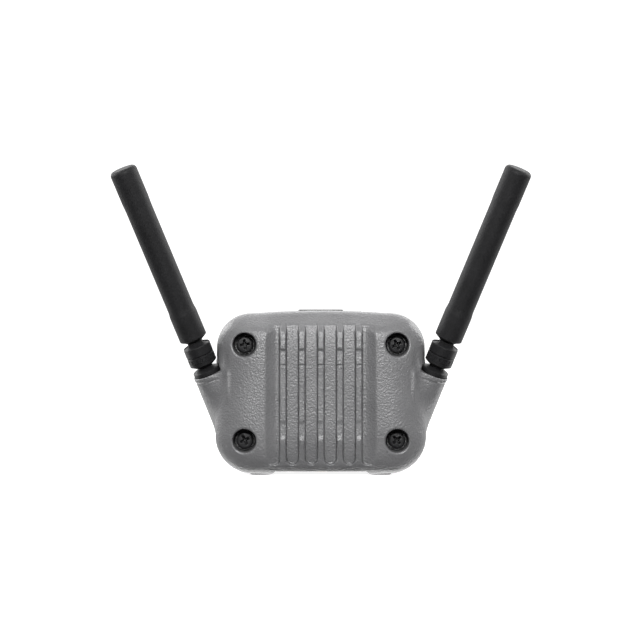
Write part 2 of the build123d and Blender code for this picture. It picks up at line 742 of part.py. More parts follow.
def make_knuckle(side):
    """Upper half of the drum: spigot below, two ears above."""
    p = L_PIVOT
    with BuildPart() as bp:
        with BuildSketch(along(side)):
            with BuildLine():
                Polyline(
                    (0.0, 5.15), (3.25, 5.15), (3.25, 5.35), (2.75, 5.35), (2.75, 6.0), (3.25, 6.0),
                    (3.25, L_SPLIT + 0.07), (5.40, L_SPLIT + 0.07), (5.40, 8.70), (DRUM_R - 0.15, 8.72), (DRUM_R, 8.88),
                    (DRUM_R, p - 1.65), (DRUM_R - 0.2, p - 1.4), (WAIST_R - 0.05, p - 0.42), (0.0, p - 0.42), close=True)
            make_face()
        revolve(axis=antenna_axis(side))
        # ears
        for d in (EAR_OUT, -EAR_IN):
            with BuildSketch(along(side, p, d)):
                Circle(EAR_R)
            extrude(amount=EAR_OUT - EAR_IN)
        # slot for the tongue
        with BuildSketch(along(side, p, EAR_IN)):
            with Locations((0, 2.0 - 1.0)):
                Rectangle(16.0, 2 * 2.95)
            Circle(EAR_R + 0.27)
        extrude(amount=2 * EAR_IN, mode=Mode.SUBTRACT)
        # pin bore through the ears, lead passage through the spigot
        with BuildSketch(along(side, p, 6.0)):
            Circle(PIN_R)
        extrude(amount=12.0, mode=Mode.SUBTRACT)
        with BuildSketch(across(side, 4.4)):
            Circle(1.3)
        extrude(amount=6.3, mode=Mode.SUBTRACT)
    return bp


def make_clip(side):
    """Retaining ring that holds the spigot in the coupling ring."""
    return turned(side, [(2.75, 5.4), (4.1, 5.4), (4.1, 5.9), (2.75, 5.9)])


def make_pin(side):
    with BuildPart() as bp:
        with BuildSketch(along(side, L_PIVOT, EAR_OUT)):
            Circle(PIN_R)
        extrude(amount=2 * EAR_OUT)
    return bp


def make_mast(side):
    """Over-moulded mast with a tongue at its lower end."""
    p = L_PIVOT
    with BuildPart() as bp:
        with BuildSketch(along(side, frame=mast_frame)):
            with BuildLine():
                pts = [
                    (0.0, p + 0.35), (WAIST_R - 0.05, p + 0.35), (MAST_R_BASE - 0.2, p + 1.9), (MAST_R_BASE, p + 2.15),
                    (MAST_R_BASE, 27.0), (MAST_R_MID + 0.06, 29.0), (MAST_R_MID, 29.8), (MAST_R_MID, 74.9),
                    (MAST_R_TIP - 0.04, 77.3), (MAST_R_TIP, 78.1), (MAST_R_TIP, L_TIP - 1.9)]
                Polyline(*pts)
                Spline((MAST_R_TIP, L_TIP - 1.9), (MAST_R_TIP - 0.50, L_TIP - 0.55), (MAST_R_TIP - 1.75, L_TIP),
                       tangents=((0, 1), (-1, 0)))
                Polyline((MAST_R_TIP - 1.75, L_TIP), (0.0, L_TIP), (0.0, p + 0.35))
            make_face()
        revolve(axis=antenna_axis(side, mast_frame))
        # room for the ears: pocket and flat in front of and behind the tongue
        for d in (EAR_OUT + 0.15, -TONGUE_HALF):
            with BuildSketch(along(side, p, d, mast_frame)):
                with Locations((0, -1.0)):
                    Rectangle(16.0, 2 * 2.95)
                Circle(EAR_R + 0.3)
            extrude(amount=EAR_OUT + 0.15 - TONGUE_HALF, mode=Mode.SUBTRACT)
        # tongue
        with BuildSketch(along(side, p, TONGUE_HALF, mast_frame)):
            Circle(3.0)
        extrude(amount=2 * TONGUE_HALF)
        with BuildSketch(along(side, p, 2.0, mast_frame)):
            Circle(PIN_R + 0.05)
        extrude(amount=4.0, mode=Mode.SUBTRACT)
        # bore for the radiator
        with BuildSketch(across(side, 20.4, mast_frame)):
            Circle(3.0)
        extrude(amount=66.0, mode=Mode.SUBTRACT)
    return bp


def make_radiator(side):
    """Sleeve dipole: stepped brass tube and rod inside the mast."""
    return turned(side, [
        (0.0, 20.6), (2.9, 20.6), (2.9, 22.4), (2.4, 22.4), (2.4, 50.4), (1.0, 50.4), (1.0, 54.4), (1.0, 82.4),
        (2.9, 82.4), (2.9, 84.4), (0.0, 84.4)], mast_frame)


def make_coax(side):
    """Internal lead from the jack's tail to the plug on the radio board."""
    m, a, yp, xp = frame_of(side)
    p0 = m + a * -16.0
    p1 = m + a * -20.6
    pts = [(p0.X, p0.Y, p0.Z), (p1.X, p1.Y, p1.Z), (side * 34.4, -15.5, 22.6), (side * 29.6, -15.5, 25.2)]
    with BuildPart() as bp:
        with BuildLine() as path:
            FilletPolyline(*pts, radius=2.6)
        with BuildSketch(Plane(origin=p0, z_dir=a * -1)):
            Circle(0.9)
        sweep(path=path.wires()[0])
    return bp


def make_coax_plug(side):
    with BuildPart() as bp:
        with BuildSketch(at_y(Y_RADIO)):
            with Locations((side * 27.7, 26.2)):
                Circle(2.0)
        extrude(amount=3.0)
    return bp


right_antenna_base = make_base(1)
right_antenna_base.part.label = "right_antenna_base"
export_step(right_antenna_base.part, "parts/right_antenna_base.step")
left_antenna_base = make_base(-1)
left_antenna_base.part.label = "left_antenna_base"
export_step(left_antenna_base.part, "parts/left_antenna_base.step")

right_antenna_seal = make_seal(1)
right_antenna_seal.part.label = "right_antenna_seal"
export_step(right_antenna_seal.part, "parts/right_antenna_seal.step")
left_antenna_seal = make_seal(-1)
left_antenna_seal.part.label = "left_antenna_seal"
export_step(left_antenna_seal.part, "parts/left_antenna_seal.step")

right_antenna_jack = make_jack(1)
right_antenna_jack.part.label = "right_antenna_jack"
export_step(right_antenna_jack.part, "parts/right_antenna_jack.step")
left_antenna_jack = make_jack(-1)
left_antenna_jack.part.label = "left_antenna_jack"
export_step(left_antenna_jack.part, "parts/left_antenna_jack.step")

right_jack_nut = make_jack_nut(1)
right_jack_nut.part.label = "right_jack_nut"
export_step(right_jack_nut.part, "parts/right_jack_nut.step")
left_jack_nut = make_jack_nut(-1)
left_jack_nut.part.label = "left_jack_nut"
export_step(left_jack_nut.part, "parts/left_jack_nut.step")

right_coupling_ring = make_coupling_ring(1)
right_coupling_ring.part.label = "right_coupling_ring"
export_step(right_coupling_ring.part, "parts/right_coupling_ring.step")
left_coupling_ring = make_coupling_ring(-1)
left_coupling_ring.part.label = "left_coupling_ring"
export_step(left_coupling_ring.part, "parts/left_coupling_ring.step")

right_swivel_knuckle = make_knuckle(1)
right_swivel_knuckle.part.label = "right_swivel_knuckle"
export_step(right_swivel_knuckle.part, "parts/right_swivel_knuckle.step")
left_swivel_knuckle = make_knuckle(-1)
left_swivel_knuckle.part.label = "left_swivel_knuckle"
export_step(left_swivel_knuckle.part, "parts/left_swivel_knuckle.step")

right_swivel_clip = make_clip(1)
right_swivel_clip.part.label = "right_swivel_clip"
export_step(right_swivel_clip.part, "parts/right_swivel_clip.step")
left_swivel_clip = make_clip(-1)
left_swivel_clip.part.label = "left_swivel_clip"
export_step(left_swivel_clip.part, "parts/left_swivel_clip.step")

right_tilt_pin = make_pin(1)
right_tilt_pin.part.label = "right_tilt_pin"
export_step(right_tilt_pin.part, "parts/right_tilt_pin.step")
left_tilt_pin = make_pin(-1)
left_tilt_pin.part.label = "left_tilt_pin"
export_step(left_tilt_pin.part, "parts/left_tilt_pin.step")

right_antenna_mast = make_mast(1)
right_antenna_mast.part.label = "right_antenna_mast"
export_step(right_antenna_mast.part, "parts/right_antenna_mast.step")
left_antenna_mast = make_mast(-1)
left_antenna_mast.part.label = "left_antenna_mast"
export_step(left_antenna_mast.part, "parts/left_antenna_mast.step")

right_antenna_radiator = make_radiator(1)
right_antenna_radiator.part.label = "right_antenna_radiator"
export_step(right_antenna_radiator.part, "parts/right_antenna_radiator.step")
left_antenna_radiator = make_radiator(-1)
left_antenna_radiator.part.label = "left_antenna_radiator"
export_step(left_antenna_radiator.part, "parts/left_antenna_radiator.step")

right_antenna_lead = make_coax(1)
right_antenna_lead.part.label = "right_antenna_lead"
export_step(right_antenna_lead.part, "parts/right_antenna_lead.step")
left_antenna_lead = make_coax(-1)
left_antenna_lead.part.label = "left_antenna_lead"
export_step(left_antenna_lead.part, "parts/left_antenna_lead.step")

right_lead_plug = make_coax_plug(1)
right_lead_plug.part.label = "right_lead_plug"
export_step(right_lead_plug.part, "parts/right_lead_plug.step")
left_lead_plug = make_coax_plug(-1)
left_lead_plug.part.label = "left_lead_plug"
export_step(left_lead_plug.part, "parts/left_lead_plug.step")

for side in (1, -1):
    m, a, yp, xp = frame_of(side)
    p = m + a * L_PIVOT
    print("side", side, "mouth", tuple(m), "axis", tuple(a), "pin", tuple(yp), "pivot", tuple(p))
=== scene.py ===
import math

import bpy
import numpy as np
from mathutils import Matrix, Vector


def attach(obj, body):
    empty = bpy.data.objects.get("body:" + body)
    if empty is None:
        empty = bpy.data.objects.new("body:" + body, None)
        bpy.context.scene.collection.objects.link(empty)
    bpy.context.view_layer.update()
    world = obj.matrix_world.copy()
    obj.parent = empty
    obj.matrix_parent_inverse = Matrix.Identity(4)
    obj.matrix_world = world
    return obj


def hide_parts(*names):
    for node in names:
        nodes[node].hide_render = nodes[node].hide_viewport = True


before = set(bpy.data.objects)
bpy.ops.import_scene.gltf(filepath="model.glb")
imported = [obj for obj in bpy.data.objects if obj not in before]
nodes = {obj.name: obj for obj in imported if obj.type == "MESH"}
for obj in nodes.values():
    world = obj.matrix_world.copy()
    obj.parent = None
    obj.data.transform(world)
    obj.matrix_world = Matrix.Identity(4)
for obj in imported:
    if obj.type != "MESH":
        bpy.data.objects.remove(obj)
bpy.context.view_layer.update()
MM = 0.001

scene = bpy.context.scene
scene.view_settings.view_transform = "Standard"
scene.view_settings.look = "None"

# ----------------------------------------------------------------------------
# dimensions in millimetres, the same frame as the CAD
# ----------------------------------------------------------------------------
Z_BOTTOM, Z_TOP, CORNER_R, CORNER_TIGHT = -0.85, 67.55, 16.0, 1.9
HALF_TOP, HALF_FOOT, TOP_ARCH, FOOT_ARCH = 42.95, 44.1, 2.6, 1.5
Y_SKIRT, Y_SPLIT = -17.5, -7.5
CROWN_DEPTH = 10.0
CROWN_SIDE, CROWN_TOP, CROWN_BOTTOM = 20.0, 12.5, 17.0
Y_TROUGH = -24.9
FIN_PITCH, FIN_W = 7.8, 2.1
SCREWS = [(-31.5, 13.76), (-31.5, 53.36), (31.5, 13.76), (31.5, 53.36)]
MOUTH = np.array([47.2, -16.5, 41.75])
AXIS = np.array([0.349, -0.2437, 0.905]); AXIS = AXIS / np.linalg.norm(AXIS)
PIN = np.array([0.0, 1.0, 0.0]) - AXIS * AXIS[1]; PIN = PIN / np.linalg.norm(PIN)
LATERAL = np.cross(PIN, AXIS)


# ----------------------------------------------------------------------------
# signed-distance helpers (numpy arrays in, arrays out)
# ----------------------------------------------------------------------------
def smax(a, b, k):
    h = np.maximum(k - np.abs(a - b), 0.0) / k
    return np.maximum(a, b) + h * h * k * 0.25


def smin(a, b, k):
    return -smax(-a, -b, k)


def rr(x, z, hx, z0, z1, r):
    qx = np.abs(x) - (hx - r)
    qz = np.abs(z - (z0 + z1) / 2) - ((z1 - z0) / 2 - r)
    return np.sqrt(np.maximum(qx, 0) ** 2 + np.maximum(qz, 0) ** 2) + np.minimum(np.maximum(qx, qz), 0) - r


def outline(x, z, side, top, foot, r):
    """Outline with arched top and foot, tapered sides and round corners."""
    half = HALF_FOOT + (z - Z_BOTTOM - FOOT_ARCH) * (HALF_TOP - HALF_FOOT) / (Z_TOP - TOP_ARCH - Z_BOTTOM - FOOT_ARCH)
    ax = np.abs(x)
    zt = Z_TOP - TOP_ARCH * (smin(ax, 28.15, 4.0) / HALF_TOP) ** 2
    zf = Z_BOTTOM + FOOT_ARCH * (smin(ax, 28.5, 4.0) / HALF_FOOT) ** 2
    # the top corners are a little tighter than the foot's
    r = r - CORNER_TIGHT * np.clip((z - 26.0) / 14.0, 0.0, 1.0)
    return rr(x, z, half - side, zf + foot, zt - top, r)


def crown_section(x, y, z):
    t = np.clip((Y_SKIRT - y) / CROWN_DEPTH, 0.0, 0.9995)
    e = 1.0 - np.sqrt(1.0 - t * t)
    return outline(x, z, CROWN_SIDE * e, CROWN_TOP * e, CROWN_BOTTOM * e, CORNER_R - 7.4 * e)


def front_profile(z):
    """Depth of the front along the middle: flat, bevelled at the top, leaning back at the foot."""
    crown = -27.45 + 0.0003 * np.maximum(55.0 - z, 0.0) ** 2
    return np.maximum(crown, -27.45 + 0.928 * (z - 58.4)) + 0.0050 * np.maximum(21.0 - z, 0.0) ** 2


def crown_body(x, y, z):
    f = crown_section(x, y, z)
    g = (crown_section(x, y + 0.06, z) - crown_section(x, y - 0.06, z)) / 0.12
    f = f / np.sqrt(1.0 + g * g)
    lean = np.maximum(21.0 - z, 0.0)
    back = -27.45 + 0.0003 * np.maximum(55.0 - z, 0.0) ** 2 + 0.0050 * lean * lean
    f = smax(f, (back - y) / np.sqrt(1.0 + (0.010 * lean) ** 2), 0.6)
    # the flat bevel along the top of the front
    n = np.array([-0.68, 0.733])
    top = (y + 27.45) * n[0] + (z - 58.4) * n[1]
    f = smax(f, top, 1.6)
    return f


def boss_coords(x, y, z):
    """Distance along a boss axis from its mouth, and distance from that axis (both sides at once)."""
    px, py, pz = np.abs(x) - MOUTH[0], y - MOUTH[1], z - MOUTH[2]
    l = px * AXIS[0] + py * AXIS[1] + pz * AXIS[2]
    d2 = px * px + py * py + pz * pz - l * l
    return l, np.sqrt(np.maximum(d2, 0.0))


# fin crest: height, depth (from the top down)
CREST = np.array([
    (70.0, -26.2), (58.0, -26.85), (51.95, -27.45), (51.0, -26.72), (45.35, -26.98), (44.95, -26.5), (44.3, -26.95),
    (43.6, -26.90), (22.2, -26.58), (20.9, -26.25), (15.9, -26.22), (14.3, -26.70), (13.6, -26.66),
    (4.9, -24.60), (2.4, -23.9), (-5.0, -21.5)])[::-1]


def trough(x, z):
    """Depth (y) of the ribbed trough's surface; far in front of the housing outside the trough."""
    ax = np.abs(x)
    z0, z1 = 3.7, 61.3
    # floor, leaning back at the foot, with concave flanks up to the front
    flat = Y_TROUGH + 0.0003 * np.maximum(55.0 - z, 0.0) ** 2 + 0.0066 * np.maximum(19.0 - z, 0.0) ** 2
    flat = flat + 0.0065 * np.maximum(z - 50.0, 0.0) ** 2
    front = front_profile(z)
    u = np.clip((ax - 18.2) / 4.7, 0.0, 1.0)
    floor = flat + (front - 0.1 - flat) * u ** 1.5 - np.maximum(ax - 22.9, 0.0) * 3.0
    # the four channels between the fins: walls drafted, lower ends round, upper ends open into the bevel
    half = (FIN_PITCH - FIN_W) / 2
    xc = np.where(ax < FIN_PITCH, FIN_PITCH / 2, FIN_PITCH * 1.5)
    q = ax - xc
    zc = np.maximum(z, z0 + half)
    d = np.sqrt(q * q + (z - zc) ** 2) - half
    lip = np.maximum(front, -27.5)
    wall = lip - 0.1 - 5.2 * d
    # the outer channels, open to the flank
    qx = np.maximum(18.7 - ax, 0.0)
    zc2 = np.maximum(z, z0 + 2.0)
    d2 = np.sqrt(qx * qx + (z - zc2) ** 2) - 2.05
    wall2 = lip - 0.1 - 5.2 * d2
    ends = np.maximum(z0 - 0.6 - z, z - z1 - 0.6)
    flank = lip - 0.1 - 1.6 * (ends + 0.3)
    wall2 = np.where(ax > 18.7, np.maximum(flank, wall2), wall2)
    w = np.where(ax < FIN_PITCH * 2, wall, wall2)
    inner = smin(floor, w, 0.45)
    crest = np.interp(z, CREST[:, 0], CREST[:, 1])
    crest = np.where(ax < 18.0, crest, -60.0)
    return smax(inner, crest, 0.2)


def shell(x, y, z):
    """The front shell as one signed-distance-like field."""
    body = crown_body(x, y, z)
    l, rad = boss_coords(x, y, z)
    br = 6.0 + 0.15 / (1.0 + np.exp(-(l + 2.3) * 9.0)) - 0.22 * np.exp(-((l + 2.55) / 0.36) ** 2)
    boss = smax(rad - br, np.maximum(l, -l - 26.0), 0.7)
    k = 1.8 + 3.0 * np.clip((z - 20.0) / 14.0, 0.0, 1.0)
    out = smin(body, boss, k)
    # the blend stops at the mouth
    out = np.minimum(smax(out, l - np.where(body < 0.4, 40.0, 0.0), 0.3), body)
    # faint ridge beside the boss, and a shallow valley above it
    ax = np.abs(x)
    fade = np.clip((-14.5 - y) / 2.5, 0.0, 1.0)
    up = np.clip((z - 28.5) / 6.0, 0.0, 1.0) * np.clip((44.0 - z) / 3.0, 0.0, 1.0)
    out = out - 0.60 * np.exp(-((ax - 38.7) / 1.1) ** 2) * up * fade
    down = np.clip((z - 42.5) / 3.0, 0.0, 1.0) * np.clip((53.0 - z) / 5.0, 0.0, 1.0)
    out = out + 0.45 * np.exp(-((ax - 39.2) / 1.2) ** 2) * down * fade
    # trough
    yf = trough(x, z)
    gx = (trough(x + 0.05, z) - trough(x - 0.05, z)) / 0.1
    gz = (trough(x, z + 0.05) - trough(x, z - 0.05)) / 0.1
    cut = (yf - y) / np.sqrt(1.0 + gx * gx + gz * gz)
    out = smax(out, cut, 0.5)
    # cavity
    c = np.clip((-18.5 - y) / 3.9, 0.0, 1.3)
    cav = outline(x, z, 4.7 + 6.5 * c, 2.5 + 5.7 * c, 2.5 + 7.7 * c, 13.5 - 4.0 * c)
    cav = np.maximum(cav, -22.4 - y)
    rim = outline(x, z, 2.5, 2.5, 2.5, 13.5)
    cav = np.minimum(cav, np.maximum(rim, -11.0 - y))
    outer = out
    out = np.maximum(out, -cav)
    # inner ends of the bosses and the screw pillars
    out = np.minimum(out, np.maximum(np.maximum(rad - 6.0, l), np.maximum(-l - 11.0, outer)))
    for sx, sz in SCREWS:
        rr2 = np.sqrt((x - sx) ** 2 + (z - sz) ** 2)
        pil = np.minimum(np.maximum(rr2 - 6.4, y + 15.1), rr2 - 4.1)
        out = np.minimum(out, np.maximum(np.maximum(pil, -24.0 - y), outer))
        # drafted counterbore with a soft rim, and the screw hole
        cb = (rr2 - (4.4 + (Y_SKIRT - y) * 0.0629)) * 0.998
        cb = np.maximum(cb, y - Y_SKIRT)
        out = smax(out, -cb, 0.9)
        out = np.maximum(out, -np.maximum(rr2 - 1.9, y + 7.0))
    # jack bores, flange seats, nut pockets, lead passages, relief beside collar and drum
    out = np.maximum(out, -np.maximum(rad - 3.2, -12.0 - l))
    out = smax(out, -np.maximum(rad - 5.6, -1.8 - l), 0.25)
    out = np.maximum(out, -np.maximum(rad - 4.7, np.maximum(-17.0 - l, l + 11.0)))
    out = np.maximum(out, -np.maximum(rad - 2.6, np.maximum(-23.0 - l, l + 16.0)))
    out = smax(out, -np.maximum(rad - 6.15, np.maximum(-l, l - 16.0)), 0.25)
    # notch in front of the collar, so that it shows from the front
    px, py, pz = np.abs(x) - MOUTH[0], y - MOUTH[1], z - MOUTH[2]
    lat = px * LATERAL[0] + py * LATERAL[1] + pz * LATERAL[2]
    dep = px * PIN[0] + py * PIN[1] + pz * PIN[2]
    out = smax(out, -smax(smax(np.abs(lat) - 5.75, dep, 0.5), np.maximum(-l, l - 3.6), 0.8), 0.7)
    # rear edge and the recess between the skids
    out = np.maximum(out, y - Y_SPLIT)
    zr = z - 0.85 * np.clip((-8.5 - y) / 8.0, 0.0, 1.0)
    rec = np.maximum(zr, (np.abs(x) - 18.8 + np.minimum(zr, 0.0) * 1.1) * 0.67)
    out = smax(out, -rec, 0.25)
    return out


# ----------------------------------------------------------------------------
# surface nets
# ----------------------------------------------------------------------------
CORNERS = np.array([(a, b, c) for a in (0, 1) for b in (0, 1) for c in (0, 1)])
EDGES = [(i, j) for i in range(8) for j in range(i + 1, 8) if np.abs(CORNERS[i] - CORNERS[j]).sum() == 1]


def surface_nets(F, xs, ys, zs):
    S = F < 0
    cnt = np.zeros(tuple(n - 1 for n in F.shape), np.int8)
    for a, b, c in CORNERS:
        cnt += S[a:S.shape[0] - 1 + a, b:S.shape[1] - 1 + b, c:S.shape[2] - 1 + c]
    act = (cnt > 0) & (cnt < 8)
    idx = -np.ones(act.shape, np.int64)
    n = int(act.sum())
    idx[act] = np.arange(n)
    I, J, K = np.nonzero(act)
    vals = [F[I + a, J + b, K + c].astype(np.float64) for a, b, c in CORNERS]
    poss = [np.stack([xs[I + a], ys[J + b], zs[K + c]], 1) for a, b, c in CORNERS]
    acc = np.zeros((n, 3)); num = np.zeros(n)
    for i, j in EDGES:
        fa, fb = vals[i], vals[j]
        m = (fa < 0) != (fb < 0)
        t = np.where(m, fa / np.where(m, fa - fb, 1.0), 0.0)
        acc += np.where(m[:, None], poss[i] + t[:, None] * (poss[j] - poss[i]), 0.0)
        num += m
    V = acc / num[:, None]
    quads = []
    m = S[:-1, 1:-1, 1:-1] != S[1:, 1:-1, 1:-1]
    i, j, k = np.nonzero(m); j = j + 1; k = k + 1
    q = np.stack([idx[i, j - 1, k - 1], idx[i, j, k - 1], idx[i, j, k], idx[i, j - 1, k]], 1)
    flip = ~S[i, j, k]
    q[flip] = q[flip][:, ::-1]; quads.append(q)
    m = S[1:-1, :-1, 1:-1] != S[1:-1, 1:, 1:-1]
    i, j, k = np.nonzero(m); i = i + 1; k = k + 1
    q = np.stack([idx[i - 1, j, k - 1], idx[i - 1, j, k], idx[i, j, k], idx[i, j, k - 1]], 1)
    flip = ~S[i, j, k]
    q[flip] = q[flip][:, ::-1]; quads.append(q)
    m = S[1:-1, 1:-1, :-1] != S[1:-1, 1:-1, 1:]
    i, j, k = np.nonzero(m); i = i + 1; j = j + 1
    q = np.stack([idx[i - 1, j - 1, k], idx[i, j - 1, k], idx[i, j, k], idx[i - 1, j, k]], 1)
    flip = ~S[i, j, k]
    q[flip] = q[flip][:, ::-1]; quads.append(q)
    return V, np.concatenate(quads)


def project(fun, V, rounds=3, h=0.02, cap=0.25):
    for _ in range(rounds):
        x, y, z = V[:, 0], V[:, 1], V[:, 2]
        f = fun(x, y, z)
        g = np.stack([
            (fun(x + h, y, z) - fun(x - h, y, z)),
            (fun(x, y + h, z) - fun(x, y - h, z)),
            (fun(x, y, z + h) - fun(x, y, z - h))], 1) / (2 * h)
        gg = np.maximum((g * g).sum(1), 0.05)
        step = (f / gg)[:, None] * g
        ln = np.sqrt((step * step).sum(1))
        step *= np.minimum(1.0, cap / np.maximum(ln, 1e-9))[:, None]
        V = V - step
    return V


def relax(V, Q, amount):
    """Move each vertex part of the way to the mean of its edge neighbours."""
    E = np.concatenate([Q[:, [0, 1]], Q[:, [1, 2]], Q[:, [2, 3]], Q[:, [3, 0]]])
    S = np.zeros_like(V)
    n = np.bincount(E[:, 0], minlength=len(V)) + np.bincount(E[:, 1], minlength=len(V))
    for c in range(3):
        S[:, c] = np.bincount(E[:, 0], V[E[:, 1], c], len(V)) + np.bincount(E[:, 1], V[E[:, 0], c], len(V))
    return V + amount * (S / np.maximum(n, 1)[:, None] - V)


def axis_steps(segments):
    """Grid lines from (start, stop, step) runs."""
    out = []
    for a, b, s in segments:
        n = max(1, int(round((b - a) / s)))
        out.append(np.linspace(a, b, n, endpoint=False))
    out.append([segments[-1][1]])
    return np.concatenate(out)


def mesh_object(name, V, Q):
    me = bpy.data.meshes.new(name)
    me.vertices.add(len(V)); me.vertices.foreach_set("co", (V * MM).astype(np.float32).ravel())
    n = Q.shape[1]
    me.loops.add(Q.size); me.loops.foreach_set("vertex_index", Q.astype(np.int32).ravel())
    me.polygons.add(len(Q)); me.polygons.foreach_set("loop_start", np.arange(0, Q.size, n, dtype=np.int32))
    me.polygons.foreach_set("use_smooth", np.ones(len(Q), bool))
    me.update(calc_edges=True)
    me.validate()
    ob = bpy.data.objects.new(name, me)
    scene.collection.objects.link(ob)
    return ob


def build_front_shell():
    k = 1.0
    xs = axis_steps([(-54.2, -40.0, 0.34 * k), (-40.0, -24.0, 0.42 * k), (-24.0, 24.0, 0.32 * k), (24.0, 40.0, 0.42 * k), (40.0, 54.2, 0.34 * k)])
    ys = axis_steps([(-28.2, -24.0, 0.34 * k), (-24.0, -6.9, 0.44 * k)])
    zs = axis_steps([(-1.6, 34.0, 0.40 * k), (34.0, 46.0, 0.33 * k), (46.0, 68.3, 0.40 * k)])
    X, Y, Z = np.meshgrid(xs, ys, zs, indexing="ij")
    F = np.empty(X.shape, np.float32)
    for a in range(0, len(xs), 24):
        F[a:a + 24] = shell(X[a:a + 24], Y[a:a + 24], Z[a:a + 24])
    V, Q = surface_nets(F, xs, ys, zs)
    V = project(shell, V, 3)
    for _ in range(2):
        V = project(shell, relax(V, Q, 0.5), 2)
    lim = np.array([[-53.3, -27.5, -0.85], [53.3, -7.5, 67.55]])
    V = np.clip(V, lim[0], lim[1])
    return mesh_object("front_shell_moulding", V, Q)


# ----------------------------------------------------------------------------
# materials
# ----------------------------------------------------------------------------
class Mat:
    def __init__(self, name, base, rough=0.5, metallic=0.0, spec=0.5):
        self.m = bpy.data.materials.new(name)
        self.m.use_nodes = True
        self.t = self.m.node_tree
        self.b = self.t.nodes["Principled BSDF"]
        self.b.inputs["Base Color"].default_value = (*base, 1.0)
        self.b.inputs["Roughness"].default_value = rough
        self.b.inputs["Metallic"].default_value = metallic
        self.b.inputs["Specular IOR Level"].default_value = spec
        self.co = self.t.nodes.new("ShaderNodeTexCoord")

    def node(self, kind, **kw):
        n = self.t.nodes.new(kind)
        for k, v in kw.items():
            setattr(n, k, v)
        return n

    def link(self, a, b):
        self.t.links.new(a, b)

    def noise(self, scale, detail=3.0, rough=0.55, stretch=None):
        n = self.node("ShaderNodeTexNoise")
        n.inputs["Scale"].default_value = scale
        n.inputs["Detail"].default_value = detail
        n.inputs["Roughness"].default_value = rough
        src = self.co.outputs["Object"]
        if stretch:
            mp = self.node("ShaderNodeMapping")
            mp.inputs["Scale"].default_value = stretch
            self.link(src, mp.inputs["Vector"])
            src = mp.outputs["Vector"]
        self.link(src, n.inputs["Vector"])
        return n.outputs["Fac"]

    def voronoi(self, scale, smooth=0.6):
        n = self.node("ShaderNodeTexVoronoi", feature="SMOOTH_F1")
        n.inputs["Scale"].default_value = scale
        n.inputs["Smoothness"].default_value = smooth
        self.link(self.co.outputs["Object"], n.inputs["Vector"])
        return n.outputs["Distance"]

    def ramp(self, fac, lo, hi, a, b):
        """Map fac from lo..hi to a..b."""
        n = self.node("ShaderNodeMapRange")
        n.inputs["From Min"].default_value = lo
        n.inputs["From Max"].default_value = hi
        n.inputs["To Min"].default_value = a
        n.inputs["To Max"].default_value = b
        self.link(fac, n.inputs["Value"])
        return n.outputs["Result"]

    def math(self, op, a, b):
        n = self.node("ShaderNodeMath", operation=op)
        for i, v in enumerate((a, b)):
            if isinstance(v, (int, float)):
                n.inputs[i].default_value = v
            else:
                self.link(v, n.inputs[i])
        return n.outputs[0]

    def color_between(self, fac, c0, c1):
        n = self.node("ShaderNodeMix", data_type="RGBA")
        self.link(fac, n.inputs["Factor"])
        n.inputs["A"].default_value = (*c0, 1.0)
        n.inputs["B"].default_value = (*c1, 1.0)
        return n.outputs["Result"]

    def edges(self, lo=0.52, hi=0.60):
        """0 on flats, 1 on sharp convex edges."""
        g = self.node("ShaderNodeNewGeometry")
        return self.ramp(g.outputs["Pointiness"], lo, hi, 0.0, 1.0)

    def base(self, socket):
        self.link(socket, self.b.inputs["Base Color"])

    def rough(self, socket):
        self.link(socket, self.b.inputs["Roughness"])

    def bump(self, heights, distance, strength=1.0):
        n = self.node("ShaderNodeBump")
        n.inputs["Strength"].default_value = strength
        n.inputs["Distance"].default_value = distance
        self.link(heights, n.inputs["Height"])
        self.link(n.outputs["Normal"], self.b.inputs["Normal"])


def grey_housing():
    m = Mat("housing_grey", (0.12, 0.12, 0.123), rough=0.42, spec=0.6)
    grain = m.noise(1800.0, 2.0, 0.5)
    cells = m.voronoi(1300.0, 0.8)
    mottled = m.noise(60.0, 4.0, 0.6)
    h = m.math("ADD", m.math("MULTIPLY", grain, 0.55), m.math("MULTIPLY", cells, 0.75))
    m.bump(h, 0.00020, 1.0)
    tone = m.math("ADD", m.math("MULTIPLY", grain, 0.35), m.math("MULTIPLY", mottled, 0.65))
    fac = m.ramp(tone, 0.35, 0.65, 0.0, 1.0)
    c = m.color_between(fac, (0.112, 0.112, 0.115), (0.148, 0.148, 0.151))
    # painted highlight: convex edges (pointiness) mixed towards a lighter grey
    n = m.node("ShaderNodeMix", data_type="RGBA")
    m.link(m.math("MULTIPLY", m.edges(0.53, 0.62), 0.35), n.inputs["Factor"])
    m.link(c, n.inputs["A"])
    n.inputs["B"].default_value = (0.23, 0.23, 0.233, 1.0)
    # painted shade: the base colour goes to near-black where ambient occlusion finds deep hollows (counterbores,
    # channel walls)
    painted_shade_ao = m.node("ShaderNodeAmbientOcclusion")
    painted_shade_ao.samples = 6
    painted_shade_ao.inputs["Distance"].default_value = 0.006
    g = m.node("ShaderNodeMix", data_type="RGBA")
    m.link(m.ramp(painted_shade_ao.outputs["AO"], 0.25, 0.68, 0.0, 1.0), g.inputs["Factor"])
    # near-black colour of the painted shade in hollows
    g.inputs["A"].default_value = (0.022, 0.022, 0.0225, 1.0)
    m.link(n.outputs["Result"], g.inputs["B"])
    m.base(g.outputs["Result"])
    m.rough(m.ramp(m.noise(900.0, 3.0, 0.6), 0.3, 0.7, 0.36, 0.46))
    return m.m


def black_rubber(name, lo, hi, rough_lo, rough_hi, spec, scale, height):
    m = Mat(name, lo, rough=0.6, spec=spec)
    grain = m.noise(scale, 4.0, 0.65)
    big = m.noise(scale * 0.08, 3.0, 0.6)
    fac = m.ramp(m.math("ADD", m.math("MULTIPLY", grain, 0.6), m.math("MULTIPLY", big, 0.4)), 0.36, 0.64, 0.0, 1.0)
    m.base(m.color_between(fac, lo, hi))
    m.rough(m.ramp(grain, 0.3, 0.7, rough_lo, rough_hi))
    m.bump(m.math("ADD", grain, m.math("MULTIPLY", m.voronoi(scale * 0.8, 0.5), 0.6)), height, 0.9)
    return m.m


